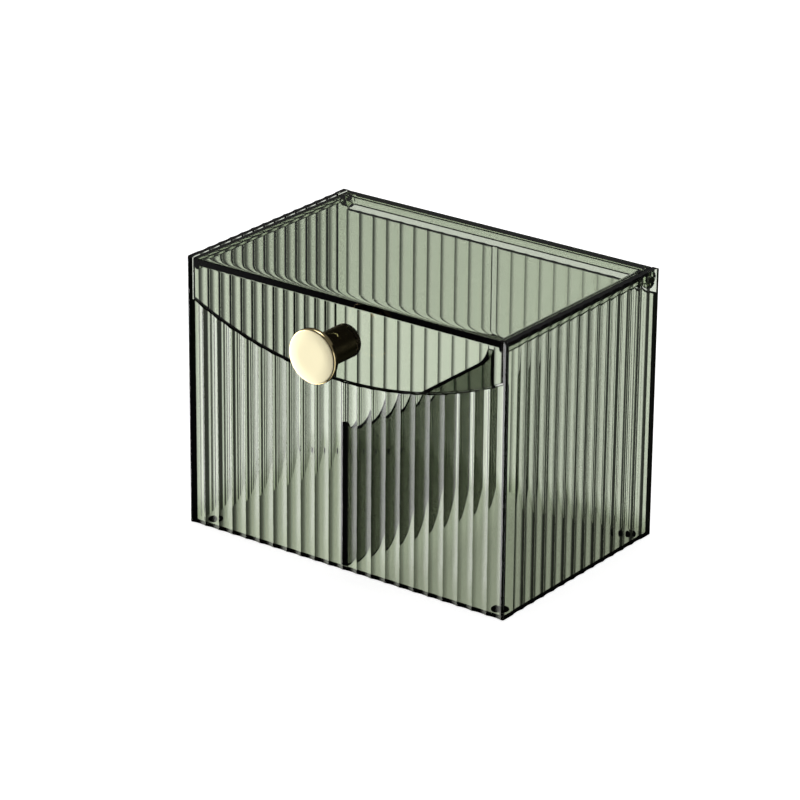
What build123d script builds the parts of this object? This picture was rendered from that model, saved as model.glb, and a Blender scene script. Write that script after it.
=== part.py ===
from build123d import *
import math
import os

# Outer size of the closed box, in millimetres
box_width = 135.0
box_depth = 90.0
box_height = 100.0

# Moulded shell
wall = 2.2
floor_thickness = 1.0
corner_radius = 0.6
rim_rounding = 1.2
front_arc_rise = 15.0
back_wall_drop = 9.2

# Upright scallops on the four outer faces
flute_pitch = 6.06
flute_depth = 0.4
ridge_radius = 0.6

# Flip lid
lid_thickness = 2.6
flap_thickness = 2.2
flap_drop = 30.5
lid_side_gap = 0.35
flap_gap = 0.8
lid_rear_setback = 1.0
lid_edge_rounding = 0.35
lid_side_rounding = 0.3
flap_blend_run = 5.0
flap_blend_drop = 0.6
flap_blend_fullness = 0.78
flange_thickness = 2.0
flange_height = 6.1
flange_fillet = 2.0
skirt_thickness = 2.0
skirt_drop = 1.9
skirt_fillet = 0.9
skirt_rounding = 0.9

# Hinge
hinge_inset = 3.5
hinge_drop = 3.8
pin_radius = 1.25
pin_bore_clearance = 0.05
pin_reach = 2.3
pin_end_gap = 0.3
pin_recess = 0.2
pin_end_chamfer = 0.2
knuckle_radius = 3.2
knuckle_length = 3.0

# Lift-out divider and the grooves that hold its ends
divider_thickness = 2.2
divider_height = 49.6
divider_horn_rise = 3.5
divider_horn_run = 6.0
divider_horn_tip = 0.5
slot_clearance = 0.15
divider_end_clearance = 0.2
divider_floor_clearance = 0.1
groove_depth = 0.7

# Knob on the flap
knob_below_middle = 0.45
knob_reach = 17.6
knob_head_radius = 9.8
knob_head_thickness = 2.7
knob_face_rounding = 0.7
knob_back_rounding = 0.9
knob_face_flat_radius = 5.0
knob_face_drop = 0.25
knob_post_radius = 6.0
knob_neck_fillet = 1.2
knob_base_rounding = 0.3

# Screw and washer behind the flap
screw_radius = 2.0
screw_hole_clearance = 0.25
knob_hole_clearance = 0.05
screw_engagement = 9.0
knob_hole_extra = 1.0
screw_head_radius = 4.0
screw_head_height = 2.4
screw_head_rounding = 1.0
screw_tip_chamfer = 0.5
recess_length = 4.4
recess_width = 0.9
recess_depth = 1.3
washer_radius = 6.0
washer_thickness = 1.0
washer_rounding = 0.2

# Feet
foot_radius = 2.5
foot_thickness = 0.7
foot_height = 0.3
foot_clearance = 0.05
foot_rounding = 0.15
foot_edge_inset = 6.2

# Extra length that lets a cut run past a face, and how near an edge counts as on a face
overcut = 1.0
near = 0.05

# Share of a radius at forty-five degrees round an arc
diagonal = math.sqrt(0.5)

# Sizes that follow from those above
half_width = box_width / 2
half_depth = box_depth / 2
inner_half_width = half_width - wall
inner_half_depth = half_depth - wall
floor_top = foot_height + floor_thickness
back_wall_top = box_height - back_wall_drop
front_low_height = box_height - flap_drop
front_arc_radius = (inner_half_width ** 2 + front_arc_rise ** 2) / (2 * front_arc_rise)
front_arc_centre = front_low_height + front_arc_radius
lid_half_width = inner_half_width - lid_side_gap
lid_underside = box_height - lid_thickness
lid_rear = half_depth - lid_rear_setback
hinge_y = half_depth - hinge_inset
hinge_z = box_height - hinge_drop
bore_radius = pin_radius + pin_bore_clearance
divider_bottom = floor_top + divider_floor_clearance
divider_top = divider_bottom + divider_height
groove_half_width = divider_thickness / 2 + slot_clearance
groove_end = inner_half_depth + groove_depth
flap_inside = -half_depth + flap_thickness
knob_height = box_height - flap_drop / 2 - knob_below_middle
washer_inside = flap_inside + washer_thickness
foot_recess = foot_thickness - foot_height


def block(x_range, y_range, z_range):
    """Box between two limits on each axis."""
    ranges = (x_range, y_range, z_range)
    size = [high - low for low, high in ranges]
    middle = [(high + low) / 2 for low, high in ranges]
    return Pos(*middle) * Box(*size)


def rod_along_x(radius, start, end, y, z):
    """Cylinder along X between two ends."""
    return Pos((start + end) / 2, y, z) * Rot(0, 90, 0) * Cylinder(radius, end - start)


def rod_along_y(radius, start, end, x, z):
    """Cylinder along Y between two ends."""
    return Pos(x, (start + end) / 2, z) * Rot(90, 0, 0) * Cylinder(radius, end - start)


def extrude_along_x(profile, half_length):
    """Solid from a YZ profile, even about the middle plane."""
    return extrude(Plane.YZ * profile, amount=half_length, both=True)


def extrude_along_y(profile, front, back):
    """Solid from an XZ profile between a front and a back plane."""
    return extrude(Plane.XZ.offset(-back) * profile, amount=back - front)


def fluted_face(start, along, inward, length, count):
    """Edges of one outer face seen from above, as scallops with rounded ridges and plain ends."""
    half_pitch = flute_pitch / 2
    reach = (half_pitch ** 2 + flute_depth ** 2) / (2 * flute_depth)
    slope = math.asin(half_pitch / reach)
    turn = ridge_radius * math.sin(slope)
    sink = ridge_radius * (1 - math.cos(slope))
    mid_turn = ridge_radius * math.sin(slope / 2)
    mid_sink = ridge_radius * (1 - math.cos(slope / 2))

    def at(distance, depth):
        x = start[0] + along[0] * distance + inward[0] * depth
        y = start[1] + along[1] * distance + inward[1] * depth
        return (x, y)

    first = (length - count * flute_pitch) / 2
    last = length - first
    edges = [Line(at(0, 0), at(first, 0))]
    edges.append(ThreePointArc(at(first, 0), at(first + mid_turn, mid_sink), at(first + turn, sink)))
    for number in range(count):
        ridge = first + number * flute_pitch
        following = ridge + flute_pitch
        valley = at(ridge + half_pitch, flute_depth)
        edges.append(ThreePointArc(at(ridge + turn, sink), valley, at(following - turn, sink)))
        if number < count - 1:
            edges.append(
                ThreePointArc(at(following - turn, sink), at(following, 0), at(following + turn, sink))
            )
    edges.append(ThreePointArc(at(last - turn, sink), at(last - mid_turn, mid_sink), at(last, 0)))
    edges.append(Line(at(last, 0), at(length, 0)))
    return edges


def fluted_outline():
    """Plan of the box: four fluted faces joined by small round corners."""
    width = box_width - 2 * corner_radius
    depth = box_depth - 2 * corner_radius
    width_count = 2 * math.floor(width / 2 / flute_pitch)
    depth_count = 2 * math.floor((depth / 2 - flute_pitch / 2) / flute_pitch) + 1
    faces = [
        fluted_face((-width / 2, -half_depth), (1, 0), (0, 1), width, width_count),
        fluted_face((half_width, -depth / 2), (0, 1), (-1, 0), depth, depth_count),
        fluted_face((width / 2, half_depth), (-1, 0), (0, -1), width, width_count),
        fluted_face((-half_width, depth / 2), (0, -1), (1, 0), depth, depth_count),
    ]
    edges = []
    for number, face in enumerate(faces):
        edges += face
        corner_start = face[-1] @ 1
        corner_end = faces[(number + 1) % len(faces)][0] @ 0
        outward_x = math.copysign(1, corner_start.X)
        outward_y = math.copysign(1, corner_start.Y)
        swell = corner_radius * diagonal
        bend = (width / 2 * outward_x + swell * outward_x, depth / 2 * outward_y + swell * outward_y)
        edges.append(ThreePointArc(corner_start, bend, corner_end))
    return make_face(edges)


def front_arc(radius, half_span):
    """Upward-curving arc of the front wall's top or of the flap's lower edge."""
    end_height = front_arc_centre - math.sqrt(radius ** 2 - half_span ** 2)
    middle = (0, front_arc_centre - radius)
    return ThreePointArc((-half_span, end_height), middle, (half_span, end_height))


def front_opening():
    """Space above the front wall's arched top, between the side walls."""
    arc = front_arc(front_arc_radius, inner_half_width)
    top = box_height + overcut
    sides = Polyline(arc @ 1, (inner_half_width, top), (-inner_half_width, top), arc @ 0)
    return extrude_along_y(make_face([arc, sides]), -half_depth - overcut, -inner_half_depth)


def rim_trim(direction):
    """Material outside the rounded top corner of the side walls, at the front or at the back."""
    outer = direction * half_depth
    inner = direction * (half_depth - rim_rounding)
    beyond = direction * (half_depth + overcut)
    low = box_height - rim_rounding
    high = box_height + overcut
    swell = rim_rounding * diagonal
    bend = (inner + direction * swell, low + swell)
    arc = ThreePointArc((outer, low), bend, (inner, box_height))
    rest = Polyline((inner, box_height), (inner, high), (beyond, high), (beyond, low), (outer, low))
    return extrude_along_x(make_face([arc, rest]), half_width + overcut)


def foot_centres():
    """Name and place of each foot."""
    x = half_width - foot_edge_inset
    y = half_depth - foot_edge_inset
    return {
        "foot_front_left": (-x, -y),
        "foot_front_right": (x, -y),
        "foot_rear_left": (-x, y),
        "foot_rear_right": (x, y),
    }


def make_body_shell():
    """Fluted box with an arched front wall, a low back wall, divider grooves and hinge holes."""
    shell = extrude(Pos(0, 0, foot_height) * fluted_outline(), amount=box_height - foot_height)
    shell -= block(
        (-inner_half_width, inner_half_width),
        (-inner_half_depth, inner_half_depth),
        (floor_top, box_height + overcut),
    )
    shell -= front_opening()
    shell -= block(
        (-inner_half_width, inner_half_width),
        (inner_half_depth - overcut, half_depth + overcut),
        (back_wall_top, box_height + overcut),
    )
    shell -= block(
        (-groove_half_width, groove_half_width),
        (-groove_end, groove_end),
        (floor_top, box_height + overcut),
    )
    for direction in (-1, 1):
        shell -= rim_trim(direction)
    shell -= rod_along_x(pin_radius, -half_width - overcut, half_width + overcut, hinge_y, hinge_z)
    socket_radius = foot_radius + foot_clearance
    for x, y in foot_centres().values():
        shell -= Pos(x, y, foot_height + foot_recess / 2) * Cylinder(socket_radius, foot_recess)
    return shell


def lid_skirt(side):
    """Low round-edged rim under one side of the top plate, filleted into it."""
    outer = side * lid_half_width
    inner = side * (lid_half_width - skirt_thickness)
    fillet_end = side * (lid_half_width - skirt_thickness - skirt_fillet)
    low = lid_underside - skirt_drop
    buried = lid_underside + lid_thickness / 2
    swell = skirt_fillet * (1 - diagonal)
    turn = lid_underside - skirt_fillet
    bend = (inner - side * swell, lid_underside - swell)
    curve = ThreePointArc((inner, turn), bend, (fillet_end, lid_underside))
    rest = Polyline(
        (fillet_end, lid_underside),
        (fillet_end, buried),
        (outer, buried),
        (outer, low),
        (inner, low),
        (inner, turn),
    )
    profile = make_face([curve, rest])
    profile = fillet(profile.vertices().group_by(Axis.Y)[0], skirt_rounding)
    front = flap_inside - flap_thickness / 2
    rear = lid_rear - flange_thickness / 2
    return extrude_along_y(profile, front, rear)


def lid_knuckle(side):
    """Round hinge eye at one rear corner, filled up to the top plate."""
    outer = side * lid_half_width
    inner = side * (lid_half_width - knuckle_length)
    x_range = (min(outer, inner), max(outer, inner))
    eye = rod_along_x(knuckle_radius, x_range[0], x_range[1], hinge_y, hinge_z)
    neck_rear = lid_rear - flange_thickness / 2
    neck_top = lid_underside + lid_thickness / 2
    neck = block(x_range, (hinge_y - knuckle_radius, neck_rear), (hinge_z, neck_top))
    return eye + neck


def make_lid():
    """Top plate with a front flap, side skirts, rear flange and two hinge eyes."""
    flap_end = front_low_height - overcut
    flange_end = box_height - flange_height
    flange_inside = lid_rear - flange_thickness
    blend_rear = flap_inside + flap_blend_run
    blend_low = lid_underside - flap_blend_drop
    blend = Bezier(
        (blend_rear, lid_underside),
        (blend_rear - flap_blend_run * flap_blend_fullness, lid_underside),
        (flap_inside, blend_low + flap_blend_drop * flap_blend_fullness),
        (flap_inside, blend_low),
    )
    rest = Polyline(
        (flap_inside, blend_low),
        (flap_inside, flap_end),
        (-half_depth, flap_end),
        (-half_depth, box_height),
        (lid_rear, box_height),
        (lid_rear, flange_end),
        (flange_inside, flange_end),
        (flange_inside, lid_underside),
        (blend_rear, lid_underside),
    )
    profile = make_face([blend, rest])
    top_corners = [v for v in profile.vertices() if v.Y > box_height - overcut]
    profile = fillet(top_corners, lid_edge_rounding)
    flange_corner = profile.vertices().sort_by_distance((flange_inside, lid_underside))[0]
    profile = fillet(flange_corner, flange_fillet)
    lid = extrude_along_x(profile, lid_half_width)
    rim = []
    for edge in lid.edges():
        middle = edge.center()
        on_end = abs(abs(middle.X) - lid_half_width) < near
        on_outside = (
            middle.Z > box_height - lid_edge_rounding
            or middle.Y < -half_depth + lid_edge_rounding
            or middle.Y > lid_rear - lid_edge_rounding
        )
        above_ends = middle.Z > flange_end + near or middle.Y < 0
        if on_end and on_outside and above_ends and middle.Z > flap_end + near:
            rim.append(edge)
    lid = fillet(rim, lid_side_rounding)
    for side in (-1, 1):
        lid += lid_skirt(side)
        lid += lid_knuckle(side)
    for side in (-1, 1):
        outer = side * (lid_half_width + overcut)
        inner = side * (lid_half_width + lid_side_gap - pin_reach - pin_end_gap)
        lid -= rod_along_x(bore_radius, min(outer, inner), max(outer, inner), hinge_y, hinge_z)
    span = lid_half_width + overcut
    arc = front_arc(front_arc_radius - flap_gap, span)
    floor_line = flap_end - overcut
    below = Polyline(arc @ 1, (span, floor_line), (-span, floor_line), arc @ 0)
    lid -= extrude_along_y(make_face([arc, below]), -half_depth - overcut, flap_inside + overcut)
    hole_radius = screw_radius + screw_hole_clearance
    lid -= rod_along_y(hole_radius, -half_depth - overcut, flap_inside + overcut, 0, knob_height)
    return lid


def make_divider():
    """Flat plate whose top edge curves up at both ends."""
    half_length = groove_end - divider_end_clearance
    bend_start = inner_half_depth - divider_horn_run
    horn_end = inner_half_depth - divider_horn_tip
    run = horn_end - bend_start
    radius = (run ** 2 + divider_horn_rise ** 2) / (2 * divider_horn_rise)
    half_turn = math.asin(run / radius) / 2
    horn_top = divider_top + divider_horn_rise
    bend_y = bend_start + radius * math.sin(half_turn)
    bend_z = divider_top + radius * (1 - math.cos(half_turn))
    front_curve = ThreePointArc((-horn_end, horn_top), (-bend_y, bend_z), (-bend_start, divider_top))
    rear_curve = ThreePointArc((bend_start, divider_top), (bend_y, bend_z), (horn_end, horn_top))
    rest = Polyline(
        (horn_end, horn_top),
        (half_length, horn_top),
        (half_length, divider_bottom),
        (-half_length, divider_bottom),
        (-half_length, horn_top),
        (-horn_end, horn_top),
    )
    middle = Line((-bend_start, divider_top), (bend_start, divider_top))
    return extrude_along_x(make_face([front_curve, middle, rear_curve, rest]), divider_thickness / 2)


def make_hinge_pin(side):
    """Plain pin pressed through a side wall into the lid's eye."""
    outer = side * (half_width - pin_recess)
    inner = side * (inner_half_width - pin_reach)
    pin = rod_along_x(pin_radius, min(outer, inner), max(outer, inner), hinge_y, hinge_z)
    return chamfer(pin.edges().filter_by(GeomType.CIRCLE), pin_end_chamfer)


def knob_plane():
    """Plane through the knob's axis, with X away from the flap and Y across."""
    return Plane(origin=(0, -half_depth, knob_height), x_dir=(0, -1, 0), z_dir=(1, 0, 0))


def make_knob():
    """Mushroom knob with a flat face that falls away to its edge, and a blind hole for its screw."""
    head_back = knob_reach - knob_head_thickness
    face_edge = knob_reach - knob_face_drop
    face_radius = knob_head_radius - knob_face_rounding
    back_radius = knob_head_radius - knob_back_rounding
    neck_swell = knob_neck_fillet * (1 - diagonal)
    face_swell = knob_face_rounding * diagonal
    back_swell = knob_back_rounding * diagonal
    base_swell = knob_base_rounding * diagonal
    crown_width = face_radius - knob_face_flat_radius
    crown_radius = (crown_width ** 2 + knob_face_drop ** 2) / (2 * knob_face_drop)
    crown_turn = math.asin(crown_width / crown_radius) / 2
    crown_mid = (
        knob_reach - crown_radius * (1 - math.cos(crown_turn)),
        knob_face_flat_radius + crown_radius * math.sin(crown_turn),
    )
    flat_end = (knob_reach, knob_face_flat_radius)
    foot_end = (0, knob_post_radius - knob_base_rounding)
    post_start = (knob_base_rounding, knob_post_radius)
    base_bend = (
        knob_base_rounding - base_swell,
        knob_post_radius - knob_base_rounding + base_swell,
    )
    neck_start = (head_back - knob_neck_fillet, knob_post_radius)
    neck_end = (head_back, knob_post_radius + knob_neck_fillet)
    neck_bend = (head_back - neck_swell, knob_post_radius + neck_swell)
    back_start = (head_back, back_radius)
    back_end = (head_back + knob_back_rounding, knob_head_radius)
    back_bend = (head_back + knob_back_rounding - back_swell, back_radius + back_swell)
    face_start = (face_edge - knob_face_rounding, knob_head_radius)
    face_end = (face_edge, face_radius)
    face_bend = (face_edge - knob_face_rounding + face_swell, face_radius + face_swell)
    outline = [
        Line((0, 0), foot_end),
        ThreePointArc(foot_end, base_bend, post_start),
        Line(post_start, neck_start),
        ThreePointArc(neck_start, neck_bend, neck_end),
        Line(neck_end, back_start),
        ThreePointArc(back_start, back_bend, back_end),
        Line(back_end, face_start),
        ThreePointArc(face_start, face_bend, face_end),
        ThreePointArc(face_end, crown_mid, flat_end),
        Line(flat_end, (knob_reach, 0)),
        Line((knob_reach, 0), (0, 0)),
    ]
    axis = Axis((0, -half_depth, knob_height), (0, -1, 0))
    knob = revolve(knob_plane() * make_face(outline), axis)
    hole_end = -half_depth - screw_engagement - knob_hole_extra
    hole_radius = screw_radius + knob_hole_clearance
    return knob - rod_along_y(hole_radius, hole_end, -half_depth + overcut, 0, knob_height)


def make_knob_washer():
    """Flat ring between the flap and the screw's head."""
    ring = rod_along_y(washer_radius, flap_inside, washer_inside, 0, knob_height)
    inner_face = ring.faces().sort_by(Axis.Y)[-1]
    ring = fillet(inner_face.edges(), washer_rounding)
    hole_radius = screw_radius + screw_hole_clearance
    return ring - rod_along_y(hole_radius, flap_inside - overcut, washer_inside + overcut, 0, knob_height)


def make_knob_screw():
    """Pan-head machine screw with a cross recess, its shank without thread."""
    head_end = washer_inside + screw_head_height
    head = rod_along_y(screw_head_radius, washer_inside, head_end, 0, knob_height)
    head = fillet(head.faces().sort_by(Axis.Y)[-1].edges(), screw_head_rounding)
    long_half = recess_length / 2
    short_half = recess_width / 2
    recess_range = (head_end - recess_depth, head_end + overcut)
    for x_half, z_half in ((long_half, short_half), (short_half, long_half)):
        z_range = (knob_height - z_half, knob_height + z_half)
        head -= block((-x_half, x_half), recess_range, z_range)
    tip = -half_depth - screw_engagement
    shank = rod_along_y(screw_radius, tip, washer_inside, 0, knob_height)
    shank = chamfer(shank.faces().sort_by(Axis.Y)[0].edges(), screw_tip_chamfer)
    return head + shank


def make_foot(x, y):
    """Round foot set half into the underside."""
    foot = Pos(x, y, foot_thickness / 2) * Cylinder(foot_radius, foot_thickness)
    return fillet(foot.faces().sort_by(Axis.Z)[0].edges(), foot_rounding)


pieces = {
    "body_shell": make_body_shell(),
    "divider": make_divider(),
    "lid": make_lid(),
    "hinge_pin_left": make_hinge_pin(-1),
    "hinge_pin_right": make_hinge_pin(1),
    "knob": make_knob(),
    "knob_washer": make_knob_washer(),
    "knob_screw": make_knob_screw(),
}
for foot_name, (foot_x, foot_y) in foot_centres().items():
    pieces[foot_name] = make_foot(foot_x, foot_y)

os.makedirs("parts", exist_ok=True)
for name, piece in pieces.items():
    export_step(piece, f"parts/{name}.step")
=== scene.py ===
import math

import bpy
from mathutils import Matrix, Vector

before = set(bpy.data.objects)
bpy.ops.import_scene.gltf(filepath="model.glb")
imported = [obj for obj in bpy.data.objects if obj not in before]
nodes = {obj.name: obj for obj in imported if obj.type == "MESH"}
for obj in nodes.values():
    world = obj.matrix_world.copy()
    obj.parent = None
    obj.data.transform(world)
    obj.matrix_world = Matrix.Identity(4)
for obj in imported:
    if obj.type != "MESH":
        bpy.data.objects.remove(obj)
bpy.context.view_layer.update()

scene = bpy.context.scene

MM = 0.001
WHITE = (1, 1, 1, 1)

# Camera at the photograph's viewing angle
FRAME_PX = 800
FOCAL_PX = 3964.3
SENSOR_MM = 36.0
CAMERA_AZIMUTH = math.radians(36.33)
CAMERA_ELEVATION = math.radians(22.21)
CAMERA_ROLL = math.radians(0.49)
CAMERA_DISTANCE = 1339.3 * MM
CAMERA_TARGET = Vector((15.6, -33.65, 63.5)) * MM
CAMERA_REACH = 50.0

# How often a light path may go on through the clear walls, and be mirrored
MAX_BOUNCES = 24
GLOSSY_BOUNCES = 8

# Clear plastic: absorption of red, green and blue per millimetre in the shell and lid, and a far
# stronger one in the divider, the same plastic, as painted shade; the volume's density is set
# above the strongest of the three by a margin, so that none of its colours is black
SMOKE_PER_MM = (0.100, 0.075, 0.132)
DIVIDER_SHADE_PER_MM = (0.64, 0.61, 0.69)
DENSITY_MARGIN = 1.25
PLASTIC_IOR = 1.5
PLASTIC_ROUGHNESS = (0.0, 0.02)
PLASTIC_GRAIN = 60.0
PLASTIC_DETAIL = 2.0

# Gold plating: colour when polished, a paler copy painted on the flat face as painted light
# (the light that the satin face catches), roughness of the polish, extra roughness of the
# face, and how far behind the knob's front the face ends
GOLD = (0.95, 0.78, 0.42)
LIT_GOLD_FACE = (0.985, 0.91, 0.64)
POLISH = (0.03, 0.07)
SATIN = 0.5
FACE_EDGE = (0.18 * MM, 0.35 * MM)
GOLD_GRAIN = 300.0
METAL_DETAIL = 6.0

# Plated steel of the screw and washer
STEEL = (0.56, 0.56, 0.55)
STEEL_ROUGHNESS = (0.2, 0.35)
STEEL_GRAIN = 800.0

# Dark rubber of the feet
RUBBER = (0.02, 0.02, 0.018)
RUBBER_ROUGHNESS = (0.55, 0.8)
RUBBER_GRAIN = 2500.0
RUBBER_DETAIL = 4.0
RUBBER_BUMP = 0.3
RUBBER_BUMP_HEIGHT = 0.05 * MM

# Floor, a disc in metres, with the light that it adds towards the camera
FLOOR_RADIUS = 4.0
FLOOR_SIDES = 64
FLOOR_GLOW = 0.80
FLOOR_ALBEDO = 0.75

# Painted shadow of the box on the floor, as it is seen through the plastic: its colour left and
# right of the divider (darker on the right as the divider's painted shade), where the one turns
# into the other, and how far it reaches past the box
PAINTED_SHADOW_LEFT = (0.62, 0.65, 0.56)
PAINTED_SHADOW_RIGHT = (0.49, 0.51, 0.44)
SHADOW_CHANGE = (0.0, 25 * MM)
SHADOW_REACH = 20 * MM

# Studio walls: light on matt surfaces, level of the dark parts, and how steep a sight
# line is, from level (0) to upright (1), where the white ends and where the dark begins
AMBIENT = 0.35
STUDIO_DARK = 0.03
WHITE_UP_TO = 0.10
DARK_FROM = 0.35

# White panels seen through the plastic: number around the box, heading of one of them,
# soft edges as values of a cosine wave, level of the gaps, and what is left of the light
# once it has been mirrored
PANELS = 8
PANEL_HEADING = math.radians(33.5)
PANEL_EDGE = (-0.7, 0.8)
PANEL_GAP = 0.06
INNER_REFLECTION = 0.02

# Soft boxes that shine in gloss: level, headings of the soft edge at the side and of the
# one at the front, share of the level on the right, and level of the ceiling
SOFTBOX = 4.0
SOFTBOX_SIDE = (math.radians(80), math.radians(105))
SOFTBOX_FRONT = (math.radians(122), math.radians(143.5))
SOFTBOX_RIGHT = 0.25
CEILING = 0.1

# Lamp above the box, with its power in watts
LAMP_PLACE = Vector((-150, 150, 1100)) * MM
LAMP_TARGET = Vector((0, 0, 50)) * MM
LAMP_SIZE = 600 * MM
LAMP_POWER = 4.0

# Places on the box, read from the frame
shell_points = [vertex.co for vertex in nodes["body_shell"].data.vertices]
box_half_width = max(point.x for point in shell_points)
box_half_depth = max(point.y for point in shell_points)
knob_front = min(vertex.co.y for vertex in nodes["knob"].data.vertices)


def node_tree(owner):
    """Emptied node tree of a material or world."""
    owner.use_nodes = True
    owner.node_tree.nodes.clear()
    return owner.node_tree


def add(tree, kind, **values):
    """New node with its unlinked sockets set by name."""
    node = tree.nodes.new(kind)
    for name, value in values.items():
        node.inputs[name.replace("_", " ")].default_value = value
    return node


def principled(name, **values):
    """New material with one Principled surface, with its node tree, surface and output."""
    material = bpy.data.materials.new(name)
    tree = node_tree(material)
    output = tree.nodes.new("ShaderNodeOutputMaterial")
    surface = add(tree, "ShaderNodeBsdfPrincipled", **values)
    tree.links.new(surface.outputs["BSDF"], output.inputs["Surface"])
    return material, tree, surface, output


def coordinates(tree, space):
    """X, Y and Z outputs of the place or direction that is shaded."""
    place = tree.nodes.new("ShaderNodeTexCoord")
    parts = tree.nodes.new("ShaderNodeSeparateXYZ")
    tree.links.new(place.outputs[space], parts.inputs["Vector"])
    return parts.outputs


def math_node(tree, operation, *values):
    """Math node whose inputs are numbers or other nodes' outputs."""
    node = tree.nodes.new("ShaderNodeMath")
    node.operation = operation
    for socket, value in zip(node.inputs, values):
        if isinstance(value, (int, float)):
            socket.default_value = value
        else:
            tree.links.new(value, socket)
    return node.outputs["Value"]


def product(tree, first, *others):
    """Product of numbers and other nodes' outputs."""
    for other in others:
        first = math_node(tree, "MULTIPLY", first, other)
    return first


def noise(tree, scale, detail):
    """Noise in the object's own coordinates."""
    place = tree.nodes.new("ShaderNodeTexCoord")
    texture = add(tree, "ShaderNodeTexNoise", Scale=scale, Detail=detail)
    tree.links.new(place.outputs["Object"], texture.inputs["Vector"])
    return texture.outputs["Fac"]


def ranged(tree, value, low, high):
    """Value between 0 and 1 spread from low to high."""
    node = add(tree, "ShaderNodeMapRange", To_Min=low, To_Max=high)
    tree.links.new(value, node.inputs["Value"])
    return node.outputs["Result"]


def ramp(tree, value, start, end, low, high):
    """Smooth change from low to high while a value goes from start to end."""
    node = add(tree, "ShaderNodeMapRange", From_Min=start, From_Max=end, To_Min=low, To_Max=high)
    node.interpolation_type = "SMOOTHSTEP"
    tree.links.new(value, node.inputs["Value"])
    return node.outputs["Result"]


def mix_shader(tree, share, first, second):
    """Mix of two shaders by the second one's share."""
    node = tree.nodes.new("ShaderNodeMixShader")
    tree.links.new(share, node.inputs["Fac"])
    tree.links.new(first, node.inputs[1])
    tree.links.new(second, node.inputs[2])
    return node.outputs["Shader"]


def plastic(name, per_mm):
    """See-through moulded plastic whose colour deepens with thickness."""
    material, tree, surface, output = principled(
        name, Base_Color=WHITE, Transmission_Weight=1.0, IOR=PLASTIC_IOR,
    )
    grain = noise(tree, PLASTIC_GRAIN, PLASTIC_DETAIL)
    tree.links.new(ranged(tree, grain, *PLASTIC_ROUGHNESS), surface.inputs["Roughness"])
    density = max(per_mm) / MM * DENSITY_MARGIN
    colour = [1 - absorbed / MM / density for absorbed in per_mm]
    volume = add(tree, "ShaderNodeVolumeAbsorption", Color=(*colour, 1), Density=density)
    tree.links.new(volume.outputs["Volume"], output.inputs["Volume"])
    return material


def gold(name):
    """Gold plating: mirror polish on the sides and the post, satin and painted light on the flat
    face.
    """
    material, tree, surface, _ = principled(name, Metallic=1.0)
    face_edge = [knob_front + depth for depth in FACE_EDGE]
    face = ramp(tree, coordinates(tree, "Object")["Y"], *face_edge, 1.0, 0.0)
    # The flat face gets the paler gold as painted light, for the light that it catches; the rest
    # keeps the polished gold
    gold_and_painted_face = tree.nodes.new("ShaderNodeValToRGB")
    for stop, colour in zip(gold_and_painted_face.color_ramp.elements, (GOLD, LIT_GOLD_FACE)):
        stop.color = (*colour, 1)
    tree.links.new(face, gold_and_painted_face.inputs["Fac"])
    tree.links.new(gold_and_painted_face.outputs["Color"], surface.inputs["Base Color"])
    polish = ranged(tree, noise(tree, GOLD_GRAIN, METAL_DETAIL), *POLISH)
    rough = math_node(tree, "ADD", polish, product(tree, face, SATIN))
    tree.links.new(rough, surface.inputs["Roughness"])
    return material


def steel(name):
    """Plated steel with a slightly uneven polish."""
    material, tree, surface, _ = principled(name, Base_Color=(*STEEL, 1), Metallic=1.0)
    grain = noise(tree, STEEL_GRAIN, METAL_DETAIL)
    tree.links.new(ranged(tree, grain, *STEEL_ROUGHNESS), surface.inputs["Roughness"])
    return material


def rubber(name):
    """Dark matt rubber with a fine grain."""
    material, tree, surface, _ = principled(name, Base_Color=(*RUBBER, 1))
    grain = noise(tree, RUBBER_GRAIN, RUBBER_DETAIL)
    tree.links.new(ranged(tree, grain, *RUBBER_ROUGHNESS), surface.inputs["Roughness"])
    bump = add(tree, "ShaderNodeBump", Strength=RUBBER_BUMP, Distance=RUBBER_BUMP_HEIGHT)
    tree.links.new(grain, bump.inputs["Height"])
    tree.links.new(bump.outputs["Normal"], surface.inputs["Normal"])
    return material


def dress(names, material):
    """Gives CAD nodes a material."""
    for name in names:
        slots = nodes[name].data.materials
        slots.clear()
        slots.append(material)


def make_camera():
    """Camera aimed at the photograph's framing."""
    back = Vector((
        math.sin(CAMERA_AZIMUTH) * math.cos(CAMERA_ELEVATION),
        -math.cos(CAMERA_AZIMUTH) * math.cos(CAMERA_ELEVATION),
        math.sin(CAMERA_ELEVATION),
    ))
    right = Vector((math.cos(CAMERA_AZIMUTH), math.sin(CAMERA_AZIMUTH), 0))
    up = back.cross(right)
    rolled_right = math.cos(CAMERA_ROLL) * right + math.sin(CAMERA_ROLL) * up
    rolled_up = math.cos(CAMERA_ROLL) * up - math.sin(CAMERA_ROLL) * right
    turn = Matrix((rolled_right, rolled_up, back)).transposed().to_4x4()
    data = bpy.data.cameras.new("camera")
    data.sensor_width = SENSOR_MM
    data.lens = FOCAL_PX / FRAME_PX * SENSOR_MM
    data.clip_end = CAMERA_REACH
    camera = bpy.data.objects.new("camera", data)
    camera.matrix_world = Matrix.Translation(CAMERA_TARGET + back * CAMERA_DISTANCE) @ turn
    scene.collection.objects.link(camera)
    scene.camera = camera


def panel_level(tree, rays, heading, ceiling):
    """Level of the white panels that are seen through the plastic."""
    turned = math_node(tree, "SUBTRACT", heading, PANEL_HEADING)
    wave = math_node(tree, "COSINE", product(tree, turned, float(PANELS)))
    panel = ramp(tree, wave, *PANEL_EDGE, PANEL_GAP, 1.0)
    mirrored = math_node(tree, "GREATER_THAN", rays.outputs["Glossy Depth"], 0.0)
    lost = product(tree, mirrored, 1.0 - INNER_REFLECTION)
    return product(tree, panel, ceiling, math_node(tree, "SUBTRACT", 1.0, lost))


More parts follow.
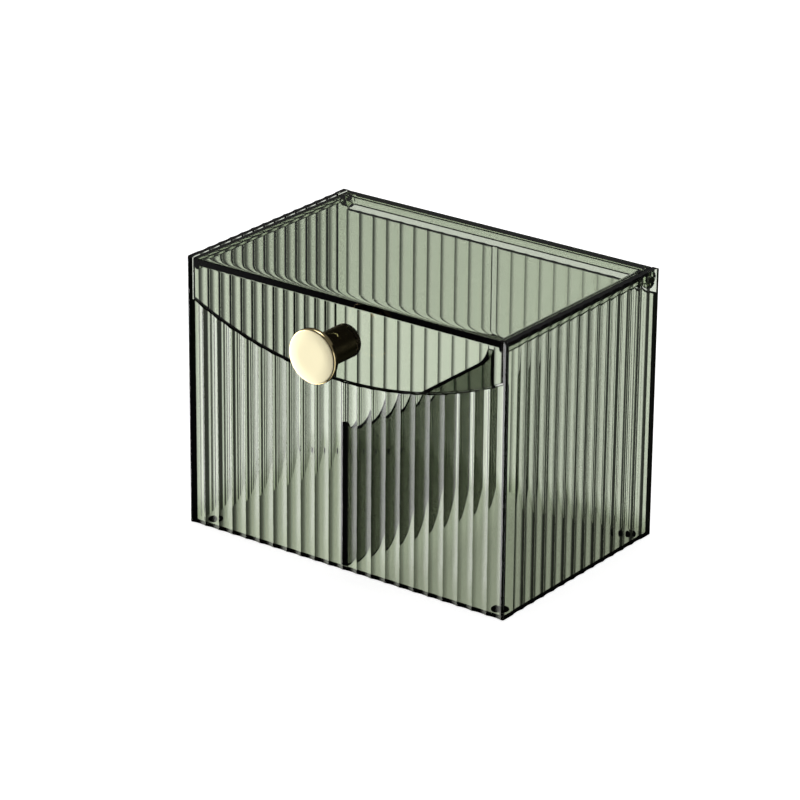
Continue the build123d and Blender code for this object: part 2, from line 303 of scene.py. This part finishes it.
def softbox_level(tree, heading, height, ceiling):
    """Level of the two soft boxes and the ceiling that shine in gloss."""
    sideways = math_node(tree, "ABSOLUTE", heading)
    side = ramp(tree, sideways, *SOFTBOX_SIDE, 0.0, 1.0)
    front = ramp(tree, sideways, *SOFTBOX_FRONT, 1.0, 0.0)
    turn = SOFTBOX_SIDE[0]
    strength = ramp(tree, heading, -turn, turn, SOFTBOX_RIGHT * SOFTBOX, SOFTBOX)
    box = product(tree, side, front, strength)
    overhead = ramp(tree, height, WHITE_UP_TO, DARK_FROM, STUDIO_DARK, CEILING)
    return math_node(tree, "ADD", product(tree, box, ceiling), overhead)


def make_world():
    """White for the camera, panels behind plastic, soft boxes in gloss, grey for the rest."""
    world = bpy.data.worlds.new("studio")
    scene.world = world
    tree = node_tree(world)
    output = tree.nodes.new("ShaderNodeOutputWorld")
    rays = tree.nodes.new("ShaderNodeLightPath")
    direction = coordinates(tree, "Generated")
    leftward = product(tree, direction["X"], -1.0)
    heading = math_node(tree, "ARCTAN2", leftward, direction["Y"])
    ceiling = ramp(tree, direction["Z"], WHITE_UP_TO, DARK_FROM, 1.0, STUDIO_DARK)
    levels = {
        "Is Glossy Ray": softbox_level(tree, heading, direction["Z"], ceiling),
        "Is Transmission Ray": panel_level(tree, rays, heading, ceiling),
    }
    rest = add(tree, "ShaderNodeBackground", Color=WHITE, Strength=AMBIENT)
    shader = rest.outputs["Background"]
    for kind, level in levels.items():
        light = add(tree, "ShaderNodeBackground", Color=WHITE)
        tree.links.new(level, light.inputs["Strength"])
        shader = mix_shader(tree, rays.outputs[kind], shader, light.outputs["Background"])
    plain = add(tree, "ShaderNodeBackground", Color=WHITE, Strength=1.0)
    shader = mix_shader(tree, rays.outputs["Is Camera Ray"], shader, plain.outputs["Background"])
    tree.links.new(shader, output.inputs["Surface"])


def painted_shadow_shader(tree):
    """Clear shader with a painted shadow under the box, darker right of the divider, that fades
    out around it.
    """
    place = coordinates(tree, "Object")
    overshoots = [
        math_node(tree, "SUBTRACT", math_node(tree, "ABSOLUTE", place[axis]), half)
        for axis, half in (("X", box_half_width), ("Y", box_half_depth))
    ]
    outside = math_node(tree, "MAXIMUM", *overshoots)
    # Painted shadow under the box: two tinted see-through shaders, darker right of the divider,
    # and a clear one away from the box
    left, right, clear = (
        add(tree, "ShaderNodeBsdfTransparent", Color=colour).outputs["BSDF"]
        for colour in ((*PAINTED_SHADOW_LEFT, 1), (*PAINTED_SHADOW_RIGHT, 1), WHITE)
    )
    shadow_below = mix_shader(tree, ramp(tree, place["X"], *SHADOW_CHANGE, 0.0, 1.0), left, right)
    return mix_shader(tree, ramp(tree, outside, 0.0, SHADOW_REACH, 0.0, 1.0), shadow_below, clear)


def make_floor():
    """Pale matt floor; gloss and plastic see the studio past it and a painted shadow under the
    box.
    """
    bpy.ops.mesh.primitive_circle_add(vertices=FLOOR_SIDES, radius=FLOOR_RADIUS, fill_type="NGON")
    floor = bpy.context.object
    floor.name = "floor"
    material = bpy.data.materials.new("floor")
    tree = node_tree(material)
    output = tree.nodes.new("ShaderNodeOutputMaterial")
    rays = tree.nodes.new("ShaderNodeLightPath")
    pale = (FLOOR_ALBEDO, FLOOR_ALBEDO, FLOOR_ALBEDO, 1)
    matt = add(tree, "ShaderNodeBsdfDiffuse", Color=pale)
    glow = add(tree, "ShaderNodeEmission", Color=WHITE)
    glow_level = product(tree, rays.outputs["Is Camera Ray"], FLOOR_GLOW)
    tree.links.new(glow_level, glow.inputs["Strength"])
    both = tree.nodes.new("ShaderNodeAddShader")
    tree.links.new(matt.outputs["BSDF"], both.inputs[0])
    tree.links.new(glow.outputs["Emission"], both.inputs[1])
    bent = math_node(
        tree, "MAXIMUM", rays.outputs["Is Glossy Ray"], rays.outputs["Is Transmission Ray"],
    )
    # Gloss and plastic see the painted shadow under the box and the studio past it
    shader = mix_shader(tree, bent, both.outputs["Shader"], painted_shadow_shader(tree))
    tree.links.new(shader, output.inputs["Surface"])
    floor.data.materials.append(material)


def make_lamp(name):
    """Soft square lamp aimed at the box."""
    data = bpy.data.lights.new(name, "AREA")
    data.shape = "SQUARE"
    data.size = LAMP_SIZE
    data.energy = LAMP_POWER
    lamp = bpy.data.objects.new(name, data)
    lamp.location = LAMP_PLACE
    lamp.rotation_euler = (LAMP_TARGET - LAMP_PLACE).to_track_quat("-Z", "Y").to_euler()
    scene.collection.objects.link(lamp)


scene.view_settings.view_transform = "Standard"
scene.cycles.max_bounces = MAX_BOUNCES
scene.cycles.transmission_bounces = MAX_BOUNCES
scene.cycles.glossy_bounces = GLOSSY_BOUNCES

smoke = plastic("smoky_plastic_look", SMOKE_PER_MM)
dress(["body_shell", "lid", "hinge_pin_left", "hinge_pin_right"], smoke)
# The divider is the same plastic as the shell, darkened by stronger absorption as painted shade
dress(["divider"], plastic("divider_painted_shade_look", DIVIDER_SHADE_PER_MM))
dress(["knob"], gold("gold_look"))
dress(["knob_washer", "knob_screw"], steel("steel_look"))
feet = [name for name in nodes if name.startswith("foot_")]
dress(feet, rubber("foot_rubber_look"))

make_camera()
make_world()
make_floor()
make_lamp("overhead")
